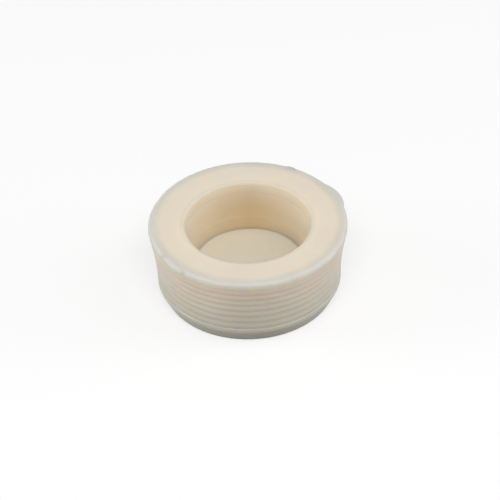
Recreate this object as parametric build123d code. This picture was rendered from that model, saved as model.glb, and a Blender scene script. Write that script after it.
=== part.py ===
from build123d import *
import math
import os

# Cask keystone: the moulded plastic plug that is driven into a cask's tap hole.
# The tap's shank is knocked in through its middle, where a thin disc gives way.
# Millimetres and degrees, +Z up, origin at the middle of the base.

# Plug
height = 17.2              # base to top face
rim_radius = 21.0          # widest part, just under the top face
rim_band = 1.8             # plain band under the top face, down to the first groove
rim_draft = 4.0            # lean of that band
rim_round = 0.8            # round on the top face's outer edge
side_inset = 1.35          # how far the ribbed side draws in below the rim band
least_land = 0.6           # least height of plain side between the ribs and the lead-in cone
lead_in_height = 3.0       # cone at the small end that starts the plug in its hole
lead_in_inset = 1.4        # how far that cone draws in
base_bevel = 0.25          # bevel on the two edges of the base
round_flats = 4            # flats that each round is cut in

# Sealing ribs
rib_pitch = 1.63           # groove to groove
groove_depth = 0.14        # how far the grooves lie below the ribs' crests

# Hole for the tap's shank
bore_radius = 12.0         # parallel bore that grips the shank's end
bore_length = 3.0          # its length above the disc
shank_taper = 11.3         # half angle of the wall above the bore
mouth_band = 3.0           # straighter band at the mouth
mouth_draft = 4.0          # lean of that band
mouth_round = 0.8          # round on the mouth's edge
shoulder = 0.06            # step from each stretch of the wall to the next

# Knock-out disc, and the well under it
disc_thickness = 1.8       # disc
tear_width = 0.5           # groove round the disc, where it tears out
tear_depth = 0.6           # depth of that groove
well_depth = 4.1           # base to the disc's underside
well_clearance = 1.0       # well's radius less the bore's, so the torn disc drops free
well_draft = 3.0           # lean of the well's wall

# Stub that the moulding gate left on the rim
gate_angle = 22.0          # from +X towards +Y
gate_proud = 0.42          # how far it stands out of the rim
gate_bulge = 9.0           # radius of its outline
gate_height = 2.4          # how far down the rim it reaches


def flare(run, angle):
    """How much wider in radius a wall gets along a height, leaning by an angle."""
    return run * math.tan(math.radians(angle))


# Levels, radii and the count of ribs that follow from the sizes above
band_foot = height - rim_band
band_radius = rim_radius - flare(rim_band, rim_draft)
land_radius = band_radius - side_inset
base_radius = land_radius - lead_in_inset
rib_count = int((band_foot - lead_in_height - least_land) / rib_pitch)
disc_top = well_depth + disc_thickness
bore_top = disc_top + bore_length
taper_top = height - mouth_band
taper_foot_radius = bore_radius + shoulder
taper_head_radius = taper_foot_radius + flare(taper_top - bore_top - shoulder, shank_taper)
mouth_foot_radius = taper_head_radius + shoulder
mouth_radius = mouth_foot_radius + flare(mouth_band - shoulder - mouth_round, mouth_draft)
well_roof_radius = bore_radius + well_clearance
well_mouth_radius = well_roof_radius + flare(well_depth, well_draft)


def side_radius(level):
    """Crest radius of the ribbed side: an arc, upright where it meets the lead-in cone."""
    reach = band_foot - lead_in_height
    sweep = (reach**2 + side_inset**2) / (2 * side_inset)
    return land_radius + sweep - math.sqrt(sweep**2 - (level - lead_in_height)**2)


def round_points(radius, level, size, start):
    """Quarter round about a centre, clockwise from an angle, cut in flats."""
    angles = [math.radians(start - 90 * step / round_flats) for step in range(round_flats + 1)]
    return [(radius + size * math.cos(angle), level + size * math.sin(angle)) for angle in angles]


def groove_point(index):
    """Bottom of a groove, counted down from the rim band."""
    level = band_foot - index * rib_pitch
    return (side_radius(level) - groove_depth, level)


def crest_point(index):
    """Crest of the rib between a groove and the next one down."""
    level = band_foot - (index + 0.5) * rib_pitch
    return (side_radius(level), level)


def plug_section():
    """Half section of the plug before anything is cut from it."""
    ribs = []
    for index in range(rib_count):
        ribs += [groove_point(index), crest_point(index)]
    last_radius, last_level = groove_point(rib_count)
    return make_face(Polyline(
        (0, 0),
        (0, height),
        *round_points(rim_radius - rim_round, height - rim_round, rim_round, 90),
        (band_radius, band_foot + groove_depth),
        *ribs,
        (last_radius, last_level),
        (last_radius + groove_depth, last_level - groove_depth),
        (land_radius, lead_in_height),
        (base_radius, 0),
        (0, 0),
    ))


def tap_hole_section():
    """Half section of the hole: bore, taper and mouth band, each a shoulder wider than the last."""
    return make_face(Polyline(
        (0, disc_top),
        (bore_radius, disc_top),
        (bore_radius, bore_top),
        (taper_foot_radius, bore_top + shoulder),
        (taper_head_radius, taper_top),
        (mouth_foot_radius, taper_top + shoulder),
        *round_points(mouth_radius + mouth_round, height - mouth_round, mouth_round, 180),
        (0, height),
        (0, disc_top),
    ))


def tear_groove_section():
    """Half section of the V groove round the disc, at the foot of the bore's wall."""
    return make_face(Polyline(
        (bore_radius, disc_top),
        (bore_radius - tear_width / 2, disc_top - tear_depth),
        (bore_radius - tear_width, disc_top),
        (bore_radius, disc_top),
    ))


def well_section():
    """Half section of the well under the disc."""
    return make_face(Polyline(
        (0, 0),
        (well_mouth_radius, 0),
        (well_roof_radius, well_depth),
        (0, well_depth),
        (0, 0),
    ))


def corner(section, point):
    """Corner of a flat section that lies nearest to a point."""
    return section.vertices().sort_by_distance(point)[0]


def gate_stub():
    """Low lobe on the rim that fades out down its band, rooted as deep as the side draws in."""
    centre = rim_radius + gate_proud - gate_bulge
    lobe = Pos(centre, 0, 0) * Cone(gate_bulge - gate_proud, gate_bulge, gate_height)
    lobe -= Cylinder(land_radius, gate_height)
    return Rot(0, 0, gate_angle) * Pos(0, 0, height - gate_height / 2) * lobe


section = plug_section() - tap_hole_section() - tear_groove_section() - well_section()
section = chamfer(corner(section, (base_radius, 0)), base_bevel)
section = chamfer(corner(section, (well_mouth_radius, 0)), base_bevel)
keystone = revolve(Plane.XZ * section, axis=Axis.Z) + gate_stub()

os.makedirs("parts", exist_ok=True)
export_step(keystone, "parts/keystone.step")
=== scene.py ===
"""Cask keystone: finishes the moulded nylon plug, adds the burrs on its rim and sets a plain studio."""

import math

import bmesh
import bpy
from mathutils import Matrix, Vector


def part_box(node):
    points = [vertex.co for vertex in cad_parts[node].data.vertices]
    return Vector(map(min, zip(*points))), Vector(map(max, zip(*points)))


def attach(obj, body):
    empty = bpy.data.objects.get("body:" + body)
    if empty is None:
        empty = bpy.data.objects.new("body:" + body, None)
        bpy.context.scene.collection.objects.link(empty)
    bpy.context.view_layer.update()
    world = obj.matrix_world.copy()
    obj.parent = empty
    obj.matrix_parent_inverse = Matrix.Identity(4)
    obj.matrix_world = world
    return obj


bl_info = {
    "name": "Cask Keystone",
    "version": (1, 0, 0),
    "blender": (4, 5, 0),
    "location": "3D View > Sidebar > Keystone",
    "description": "Finishes a moulded nylon cask keystone and sets a plain studio around it",
    "category": "Object",
}

MM = 0.001

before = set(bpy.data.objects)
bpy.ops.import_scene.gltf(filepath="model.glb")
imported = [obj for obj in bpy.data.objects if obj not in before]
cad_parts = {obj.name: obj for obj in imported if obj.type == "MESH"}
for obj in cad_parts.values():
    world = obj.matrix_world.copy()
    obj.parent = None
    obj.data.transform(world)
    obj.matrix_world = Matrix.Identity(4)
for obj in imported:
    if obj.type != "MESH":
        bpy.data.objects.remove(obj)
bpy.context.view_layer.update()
PLUG_LOW, PLUG_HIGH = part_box("keystone")
RIM_RADIUS = min(PLUG_HIGH.x, PLUG_HIGH.y, -PLUG_LOW.x, -PLUG_LOW.y)
TOP = PLUG_HIGH.z


def linear(hex_colour):
    """An sRGB hex colour as linear red, green and blue."""
    channels = [int(hex_colour[place:place + 2], 16) / 255 for place in (0, 2, 4)]
    return [c / 12.92 if c <= 0.04045 else ((c + 0.055) / 1.055) ** 2.4 for c in channels]


def colour(name, description, hex_colour):
    """A colour that a user can change."""
    return bpy.props.FloatVectorProperty(
        name=name, description=description, default=linear(hex_colour), subtype="COLOR", min=0, max=1)


def length(name, description, millimetres):
    """A size that a user can change, given in millimetres and held in metres."""
    return bpy.props.FloatProperty(
        name=name, description=description, default=millimetres * MM, unit="LENGTH", precision=5)


def angle(name, description, degrees):
    """An angle that a user can change."""
    return bpy.props.FloatProperty(
        name=name, description=description, default=math.radians(degrees), unit="ROTATION")


def number(name, description, value):
    """A plain number that a user can change."""
    return bpy.props.FloatProperty(name=name, description=description, default=value, min=0, precision=3)


class NylonSettings(bpy.types.PropertyGroup):
    """Colours and sizes of the moulded nylon."""

    body_colour: colour("Body", "Natural nylon, as the top face shows it", "e3d9c7")
    # Painted light: the side just under the rim is coloured paler than the nylon is.
    painted_light_side_colour: colour("Pale side", "Nylon of the side just under the rim, lightened as painted light", "f0e5d3")
    # Painted shade: the side greys towards the small end.
    painted_shade_foot_colour: colour("Foot", "Nylon of the small end, darkened as painted shade", "cdc9b9")
    # Painted shade: the hole's wall is coloured deeper and warmer, most at its back.
    painted_hole_shade_colour: colour("Hole wall", "Nylon of the hole's wall, deepened by painted shade", "d7c097")
    whitened_colour: colour("Whitened", "Nylon whitened by strain along the rim", "e8e5dd")
    scatter_share: number("Scatter share", "Share of the light that wanders under the surface", 1.0)
    scatter_depth: length("Scatter depth", "How far that light wanders", 4.0)
    edge_softness: length("Edge softness", "Radius that every moulded edge is softened by", 0.25)
    grain_size: length("Grain", "Size of the mould's spark-eroded grain", 0.3)
    cloud_size: length("Clouds", "Size of the faint clouds that the melt's flow leaves", 7.0)
    whitened_width: length("Whitened width", "Width of the whitened band on the top face", 2.4)
    whitened_drop: length("Whitened drop", "How far the whitening runs down the side", 3.2)
    patch_size: length("Patch size", "Size of the patches that the whitening comes in", 6.0)
    core_radius: length("Core radius", "Radius between the hole's wall and the plug's side", 15.0)
    floor_radius: length("Hole floor radius", "Radius of the hole's floor, which gets no painted shade", 11.9)
    core_depth: length("Core depth", "Depth in the hole at which the painted shade is full", 6.5)
    core_sides: number("Core sides", "Painted shade left at the hole's two sides", 0.3)
    first_groove: length("First groove", "From the top face down to the side's first groove", 1.8)
    rib_pitch: length("Rib pitch", "From groove to groove", 1.63)
    groove_count: bpy.props.IntProperty(name="Grooves", description="Grooves round the side", default=8, min=1)
    # The three shades below are painted shade, in the grooves and on the rim's and the mouth's rounds.
    painted_groove_shade: number("Groove shade", "Share of painted shade in the grooves", 0.006)
    rim_edge: length("Rim edge", "Width on the top face in which the rim's round gets painted shade", 2.8)
    painted_rim_shade: number("Rim shade", "Share of painted shade on the rim's round", 0.24)
    mouth_edge: length("Mouth edge", "Radius at which the mouth's round begins to get painted shade", 14.6)
    painted_mouth_shade: number("Mouth shade", "Share of painted shade on the mouth's round", 0.14)


class RimBurrSettings(bpy.types.PropertyGroup):
    """Colour and sizes of the burrs that the mould's parting line leaves on the rim."""

    burr_colour: colour("Burr", "Nylon of the burrs, strained until it turned dull", "c9c4ba")
    rim_round: length("Rim round", "Round of the rim that the burrs sit on", 0.8)
    root: length("Root", "How deep a burr is rooted in the rim", 0.1)
    large_proud: length("Large burr", "How far the one at the back stands out of the rim", 0.2)
    small_proud: length("Small burrs", "How far the two at the front left stand out of the rim", 0.06)
    large_span: angle("Large span", "Half width of the large burr", 4)
    small_span: angle("Small span", "Half width of each small burr", 2.5)


class StageSettings(bpy.types.PropertyGroup):
    """Floor, lights and camera."""

    floor_colour: colour("Floor", "Pale floor as the camera sees it", "ffffff")
    bounce_colour: colour("Floor bounce", "Grey that the floor throws back on the plug", "7c7c7c")
    floor_glow: number("Floor glow", "Share of the floor's white that shows in its shadows too", 0.6)
    floor_size: length("Floor size", "Side of the floor", 4000)
    fill: number("Fill", "Strength of the room's even light", 0.36)
    softbox_size: length("Softbox size", "Side of each square softbox", 400)
    softbox_distance: length("Softbox distance", "From the plug to each softbox", 700)
    front_power: number("Front power", "Power of the high softbox in front, in watts", 2.33)
    left_power: number("Left power", "Power of the low softbox on the left, in watts", 2.07)
    right_power: number("Right power", "Power of the low softbox on the right, in watts", 1.57)
    shoulder_power: number("Shoulder power", "Power of the high softbox on the right, in watts", 0.5)
    camera_distance: length("Camera distance", "From the middle of the top face", 525)
    camera_elevation: angle("Camera elevation", "Above the horizon", 38.6)
    camera_roll: angle("Camera roll", "Turn of the picture, anticlockwise", 1.85)
    camera_lens: number("Lens", "Focal length in millimetres, on a sensor 36 mm wide", 179.8)
    aim_right: length("Aim right", "How far right of the top face's middle the camera aims", 0.29)
    aim_down: length("Aim down", "How far below the top face's middle the camera aims", 6.05)


def node(tree, kind, settings=None, links=None):
    """Adds a node: settings give its properties and sockets a value, links feed its sockets."""
    made = tree.nodes.new("ShaderNode" + kind)
    for name, value in (settings or {}).items():
        if isinstance(name, int) or name in made.inputs:
            made.inputs[name].default_value = value
        else:
            setattr(made, name, value)
    for name, source in (links or {}).items():
        tree.links.new(source, made.inputs[name])
    return made


def new_material(name):
    """An empty node material and its tree."""
    material = bpy.data.materials.new(name)
    material.use_nodes = True
    material.node_tree.nodes.clear()
    return material, material.node_tree


def rgba(colour_value):
    """A colour with full alpha, as sockets take it."""
    return (*colour_value, 1)


def radius_of(tree, place):
    """Distance of a place from the plug's axis."""
    outward = node(tree, "VectorMath", {"operation": "MULTIPLY", 1: (1, 1, 0)}, {0: place})
    return node(tree, "VectorMath", {"operation": "LENGTH"}, {0: outward.outputs[0]}).outputs["Value"]


def depth_of(tree, place):
    """Depth of a place below the top face."""
    split = node(tree, "SeparateXYZ", links={0: place})
    return node(tree, "Math", {"operation": "SUBTRACT", 0: TOP}, {1: split.outputs["Z"]}).outputs[0]


def ease(tree, value, nothing, full):
    """A share that eases from 0, where the value is nothing, to 1, where it is full."""
    eased = node(
        tree, "MapRange", {"interpolation_type": "SMOOTHSTEP", "From Min": nothing, "From Max": full},
        {"Value": value})
    return eased.outputs[0]


def times(tree, share, other):
    """One share of another."""
    return node(tree, "Math", {"operation": "MULTIPLY"}, {0: share, 1: other}).outputs[0]


def blend(tree, below, above, share):
    """A colour that goes over to another by a share. Each is a setting or a socket."""
    settings = {"data_type": "RGBA"}
    links = {"Factor": share}
    for socket, value in ((6, below), (7, above)):
        if isinstance(value, bpy.types.NodeSocket):
            links[socket] = value
        else:
            settings[socket] = rgba(value)
    return node(tree, "Mix", settings, links).outputs[2]


def whitened_share(tree, place, radius, depth, settings):
    """How whitened the nylon is: all of it at the rim's edge, none past the band's width."""
    patches = node(tree, "TexNoise", {"Scale": 1 / settings.patch_size, "Detail": 3}, {"Vector": place})
    inner = node(
        tree, "MapRange",
        {"From Min": 0.3, "From Max": 0.7, "To Min": RIM_RADIUS - 0.7 * settings.whitened_width,
         "To Max": RIM_RADIUS - 1.3 * settings.whitened_width},
        {"Value": patches.outputs["Fac"]})
    across = node(
        tree, "MapRange", {"interpolation_type": "SMOOTHSTEP", "From Max": RIM_RADIUS - 0.6 * MM},
        {"Value": radius, "From Min": inner.outputs[0]})
    return times(tree, across.outputs[0], ease(tree, depth, settings.whitened_drop, 0.0))


def painted_hole_shade_share(tree, place, radius, depth, settings):
    """Share of painted shade on the hole's wall: most at the back of the hole's wall, none on its floor and
    outside.
    """
    split = node(tree, "SeparateXYZ", links={0: place})
    aside = node(tree, "Math", {"operation": "ABSOLUTE"}, {0: split.outputs["X"]})
    behind = node(
        tree, "MapRange",
        {"From Max": settings.floor_radius, "To Min": 1.0, "To Max": settings.core_sides},
        {"Value": aside.outputs[0]})
    on_wall = node(
        tree, "Math",
        {"operation": "COMPARE", 1: (settings.core_radius + settings.floor_radius) / 2,
         2: (settings.core_radius - settings.floor_radius) / 2},
        {0: radius})
    deep = ease(tree, depth, 0.0, settings.core_depth)
    return times(tree, times(tree, deep, behind.outputs[0]), on_wall.outputs[0])


def groove_share(tree, outside, depth, settings):
    """Where the grooves are: 1 at the bottom of each, and 0 on the ribs and past the last groove."""
    turns = 2 * math.pi / settings.rib_pitch
    phase = node(
        tree, "Math", {"operation": "MULTIPLY_ADD", 1: turns, 2: -turns * settings.first_groove}, {0: depth})
    wave = node(tree, "Math", {"operation": "COSINE"}, {0: phase.outputs[0]})
    groove = node(tree, "MapRange", {"From Min": -1}, {"Value": wave.outputs[0]})
    ribbed_half = settings.groove_count * settings.rib_pitch / 2
    ribbed_middle = settings.first_groove - settings.rib_pitch / 2 + ribbed_half
    ribbed = node(tree, "Math", {"operation": "COMPARE", 1: ribbed_middle, 2: ribbed_half}, {0: depth})
    return times(tree, times(tree, groove.outputs[0], ribbed.outputs[0]), outside)


def painted_shade_kept(tree, outside, radius, depth, settings):
    """Share of the colour kept under painted shade: the grooves and the rounded edges are darkened a little."""
    near_top = ease(tree, depth, 1.2 * MM, 0.3 * MM)
    rim = times(tree, near_top, ease(tree, radius, RIM_RADIUS - settings.rim_edge, RIM_RADIUS - 0.6 * MM))
    mouth = times(tree, near_top, ease(tree, radius, settings.mouth_edge, settings.mouth_edge - 0.9 * MM))
    kept = None
    for share, shade in (
        (groove_share(tree, outside, depth, settings), settings.painted_groove_shade),
        (rim, settings.painted_rim_shade),
        (mouth, settings.painted_mouth_shade),
    ):
        left = node(tree, "Math", {"operation": "MULTIPLY_ADD", 1: -shade, 2: 1.0}, {0: share}).outputs[0]
        kept = times(tree, kept, left) if kept else left
    return kept


def nylon_colour(tree, place, settings):
    """Natural nylon, from the top face and the hole's wall to the rim, the ribs and the small end, with painted
    shade in the hole, the grooves and on the rounds, painted light under the rim and painted shade towards the
    small end.
    """
    radius = radius_of(tree, place)
    depth = depth_of(tree, place)
    outside = node(
        tree, "Math", {"operation": "GREATER_THAN", 1: settings.core_radius}, {0: radius}).outputs[0]
    # Painted light pales the side below the rim.
    painted_light_under_rim = times(tree, outside, ease(tree, depth, 0.0, settings.first_groove))
    # Painted shade greys the side towards the small end.
    painted_shade_towards_foot = times(tree, outside, ease(tree, depth, settings.whitened_drop, TOP))
    # Painted shade deepens the hole's wall.
    skin = blend(
        tree, settings.body_colour, settings.painted_hole_shade_colour,
        painted_hole_shade_share(tree, place, radius, depth, settings))
    skin = blend(tree, skin, settings.painted_light_side_colour, painted_light_under_rim)
    skin = blend(tree, skin, settings.painted_shade_foot_colour, painted_shade_towards_foot)
    skin = blend(tree, skin, settings.whitened_colour, whitened_share(tree, place, radius, depth, settings))
    # The melt's flow leaves faint clouds.
    clouds = node(tree, "TexNoise", {"Scale": 1 / settings.cloud_size, "Detail": 2}, {"Vector": place})
    tint = node(
        tree, "MapRange", {"From Min": 0.3, "From Max": 0.7, "To Min": 0.985, "To Max": 1.015},
        {"Value": clouds.outputs["Fac"]})
    # The clouds are the nylon's own tone; the rest is painted shade in the grooves and on the rounds.
    light = times(tree, tint.outputs[0], painted_shade_kept(tree, outside, radius, depth, settings))
    return node(tree, "VectorMath", {"operation": "SCALE"}, {0: skin, "Scale": light}).outputs[0]


def nylon_material(settings):
    """Natural nylon, injection-moulded: waxy and slightly see-through, so its shades are soft."""
    material, tree = new_material("moulded_natural_nylon")
    place = node(tree, "TexCoord").outputs["Object"]
    # Spark-eroded steel prints a fine even grain on the plug.
    grain = node(tree, "TexNoise", {"Scale": 1 / settings.grain_size, "Detail": 2}, {"Vector": place})
    soft_edges = node(tree, "Bevel", {"samples": 8, "Radius": settings.edge_softness})
    bump = node(
        tree, "Bump", {"Strength": 0.15, "Distance": 0.02 * MM},
        {"Height": grain.outputs["Fac"], "Normal": soft_edges.outputs[0]})
    shader = node(
        tree, "BsdfPrincipled",
        {"Roughness": 0.5, "IOR": 1.53, "Subsurface Weight": settings.scatter_share,
         "Subsurface Radius": (1.0, 0.8, 0.5), "Subsurface Scale": settings.scatter_depth},
        {"Base Color": nylon_colour(tree, place, settings), "Normal": bump.outputs[0]})
    node(tree, "OutputMaterial", links={"Surface": shader.outputs[0]})
    return material


def burr_material(settings, grain_size):
    """Nylon burr, strained as the mould opened: whitened right through, dull and dense."""
    material, tree = new_material("strain_whitened_nylon")
    place = node(tree, "TexCoord").outputs["Object"]
    crazes = node(tree, "TexNoise", {"Scale": 1 / grain_size, "Detail": 3}, {"Vector": place})
    bump = node(tree, "Bump", {"Strength": 0.2, "Distance": 0.03 * MM}, {"Height": crazes.outputs["Fac"]})
    shader = node(
        tree, "BsdfPrincipled",
        {"Base Color": rgba(settings.burr_colour), "Roughness": 0.6, "IOR": 1.53},
        {"Normal": bump.outputs[0]})
    node(tree, "OutputMaterial", links={"Surface": shader.outputs[0]})
    return material


def seen_straight(tree):
    """1 for rays from the camera, off gloss or through glass, and 0 for the light that lands on things."""
    path = node(tree, "LightPath")
    gloss = node(
        tree, "Math", {"operation": "MAXIMUM"},
        {0: path.outputs["Is Camera Ray"], 1: path.outputs["Is Glossy Ray"]})
    seen = node(
        tree, "Math", {"operation": "MAXIMUM"},
        {0: gloss.outputs[0], 1: path.outputs["Is Transmission Ray"]})
    return seen.outputs[0]


def floor_material(settings):
    """Matt laminate board, pressed smooth: white to the eye, and it throws back only a little light."""
    material, tree = new_material("matt_white_board")
    board = node(
        tree, "Mix",
        {"data_type": "RGBA", 6: rgba(settings.bounce_colour), 7: rgba(settings.floor_colour)},
        {"Factor": seen_straight(tree)})
    lit = node(tree, "BsdfDiffuse", links={"Color": board.outputs[2]})
    glow = node(tree, "Emission", {"Color": rgba(settings.floor_colour), "Strength": 1.0})
    glow_share = node(tree, "Math", {"operation": "MULTIPLY", 0: settings.floor_glow}, {1: seen_straight(tree)})
    shader = node(
        tree, "MixShader", links={0: glow_share.outputs[0], 1: lit.outputs[0], 2: glow.outputs[0]})
    node(tree, "OutputMaterial", links={"Surface": shader.outputs[0]})
    return material


class KEYSTONE_OT_finish_body(bpy.types.Operator):
    """Give the moulded plug its nylon finish"""

    bl_idname = "keystone.finish_body"
    bl_label = "Finish Plug"

    def execute(self, context):
        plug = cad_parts["keystone"]
        plug.data.materials[0] = nylon_material(context.scene.keystone_nylon)
        return {"FINISHED"}


def sweep_burr(mesh, middle, span, proud, settings):
    """One burr: a thin closed lens along the rim's round, thickest at its middle."""
    steps = 24
    flats = 6
    corner_radius = RIM_RADIUS - settings.rim_round
    corner_level = TOP - settings.rim_round
    inside = settings.rim_round - settings.root
    rings = []
    for step in range(1, steps):
        along = 2 * step / steps - 1
        turn = middle + along * span
        outside = inside + (settings.root + proud) * (1 - along**2)
        points = []
        for flat in range(flats + 1):
            lean = math.radians(90) * flat / flats
            swell = inside + (outside - inside) * math.sin(2 * lean)
            level = min(TOP, corner_level + swell * math.sin(lean))
            points.append((corner_radius + swell * math.cos(lean), level))
        for flat in range(flats - 1, 0, -1):
            lean = math.radians(90) * flat / flats
            deep = inside - settings.root
            points.append((corner_radius + deep * math.cos(lean), corner_level + deep * math.sin(lean)))
        rings.append([mesh.verts.new((r * math.cos(turn), r * math.sin(turn), z)) for r, z in points])
    count = len(rings[0])
    for here, there in zip(rings, rings[1:]):
        for place in range(count):
            after = (place + 1) % count
            mesh.faces.new((here[place], there[place], there[after], here[after])).smooth = True
    mesh.faces.new(rings[0])
    mesh.faces.new(reversed(rings[-1]))


def build_burrs(settings):
    """Mesh of the three burrs that the photo shows on the rim, placed from +X towards +Y."""
    mesh = bmesh.new()
    sweep_burr(mesh, math.radians(62), settings.large_span, settings.large_proud, settings)
    for place in (210.5, 228.5):
        sweep_burr(mesh, math.radians(place), settings.small_span, settings.small_proud, settings)
    bmesh.ops.recalc_face_normals(mesh, faces=mesh.faces)
    data = bpy.data.meshes.new("rim_burrs")
    mesh.to_mesh(data)
    mesh.free()
    return data


class KEYSTONE_OT_add_rim_burrs(bpy.types.Operator):
    """Add the thin whitened burrs along the rim's edge"""

    bl_idname = "keystone.add_rim_burrs"
    bl_label = "Add Rim Burrs"

    def execute(self, context):
        settings = context.scene.keystone_burrs
        burrs = bpy.data.objects.new("rim_burrs", build_burrs(settings))
        context.scene.collection.objects.link(burrs)
        burrs.data.materials.append(burr_material(settings, context.scene.keystone_nylon.grain_size))
        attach(burrs, "root")
        return {"FINISHED"}


def add_floor(context, settings):
    """A floor far wider than the picture, level with the plug's base."""
    half = settings.floor_size / 2
    data = bpy.data.meshes.new("floor")
    corners = [(-half, -half, 0), (half, -half, 0), (half, half, 0), (-half, half, 0)]
    data.from_pydata(corners, [], [(0, 1, 2, 3)])
    data.materials.append(floor_material(settings))
    floor = bpy.data.objects.new("floor", data)
    context.scene.collection.objects.link(floor)


def add_room(context, settings):
    """World: white where it is seen, and an even fill where it lights."""
    world = bpy.data.worlds.new("pale_room")
    world.use_nodes = True
    tree = world.node_tree
    tree.nodes.clear()
    strength = node(tree, "Mix", {2: settings.fill, 3: 1.0}, {"Factor": seen_straight(tree)})
    room = node(tree, "Background", {"Color": (1, 1, 1, 1)}, {"Strength": strength.outputs[0]})
    node(tree, "OutputWorld", links={"Surface": room.outputs[0]})
    context.scene.world = world


def add_softboxes(context, settings):
    """Square softboxes round the plug, aimed at it: a low one each side, and high ones in front and right."""
    boxes = (
        ("front", 180, 55, settings.front_power),
        ("left", -90, 15, settings.left_power),
        ("right", 90, 15, settings.right_power),
        ("shoulder", 90, 50, settings.shoulder_power),
    )
    for name, bearing, rise, power in boxes:
        light = bpy.data.lights.new("softbox_" + name, "AREA")
        light.size = settings.softbox_size
        light.energy = power
        softbox = bpy.data.objects.new("softbox_" + name, light)
        turn = Matrix.Rotation(math.radians(-bearing), 3, "Z") @ Matrix.Rotation(math.radians(rise), 3, "X")
        softbox.location = turn @ Vector((0, settings.softbox_distance, 0))
        softbox.rotation_euler = softbox.location.to_track_quat("Z", "Y").to_euler()
        context.scene.collection.objects.link(softbox)


def add_camera(context, settings):
    """The camera at the picture's distance, height and roll."""
    data = bpy.data.cameras.new("camera")
    data.sensor_width = 36
    data.lens = settings.camera_lens
    data.clip_start = 0.01
    rise = settings.camera_elevation
    top_middle = Vector((0, 0, TOP))
    back = Vector((0, -math.cos(rise), math.sin(rise)))
    up = Vector((0, math.sin(rise), math.cos(rise)))
    aim = top_middle + Vector((settings.aim_right, 0, 0)) - up * settings.aim_down
    place = top_middle + back * settings.camera_distance
    looking = (aim - place).to_track_quat("-Z", "Y").to_matrix().to_4x4()
    camera = bpy.data.objects.new("camera", data)
    camera.matrix_world = Matrix.Translation(place) @ looking @ Matrix.Rotation(-settings.camera_roll, 4, "Z")
    context.scene.collection.objects.link(camera)
    context.scene.camera = camera


class KEYSTONE_OT_set_stage(bpy.types.Operator):
    """Add the pale floor, the room, the softboxes and the camera"""

    bl_idname = "keystone.set_stage"
    bl_label = "Set Stage"

    def execute(self, context):
        settings = context.scene.keystone_stage
        add_floor(context, settings)
        add_room(context, settings)
        add_softboxes(context, settings)
        add_camera(context, settings)
        context.scene.view_settings.view_transform = "Standard"
        return {"FINISHED"}


class KEYSTONE_PT_panel(bpy.types.Panel):
    """Steps and settings of the keystone"""

    bl_idname = "KEYSTONE_PT_panel"
    bl_label = "Cask Keystone"
    bl_space_type = "VIEW_3D"
    bl_region_type = "UI"
    bl_category = "Keystone"

    def draw(self, context):
        for group, operator in PANEL_ROWS:
            box = self.layout.box()
            settings = getattr(context.scene, group)
            for name in settings.__annotations__:
                box.prop(settings, name)
            box.operator(operator.bl_idname)


PANEL_ROWS = (
    ("keystone_nylon", KEYSTONE_OT_finish_body),
    ("keystone_burrs", KEYSTONE_OT_add_rim_burrs),
    ("keystone_stage", KEYSTONE_OT_set_stage),
)
SETTINGS = {
    "keystone_nylon": NylonSettings,
    "keystone_burrs": RimBurrSettings,
    "keystone_stage": StageSettings,
}
CLASSES = (
    *SETTINGS.values(),
    KEYSTONE_OT_finish_body,
    KEYSTONE_OT_add_rim_burrs,
    KEYSTONE_OT_set_stage,
    KEYSTONE_PT_panel,
)


def register():
    for kind in CLASSES:
        bpy.utils.register_class(kind)
    for name, kind in SETTINGS.items():
        setattr(bpy.types.Scene, name, bpy.props.PointerProperty(type=kind))


def unregister():
    for name in SETTINGS:
        delattr(bpy.types.Scene, name)
    for kind in reversed(CLASSES):
        bpy.utils.unregister_class(kind)


def main():
    register()
    bpy.ops.keystone.finish_body()
    bpy.ops.keystone.add_rim_burrs()
    bpy.ops.keystone.set_stage()


if __name__ == "__main__":
    main()
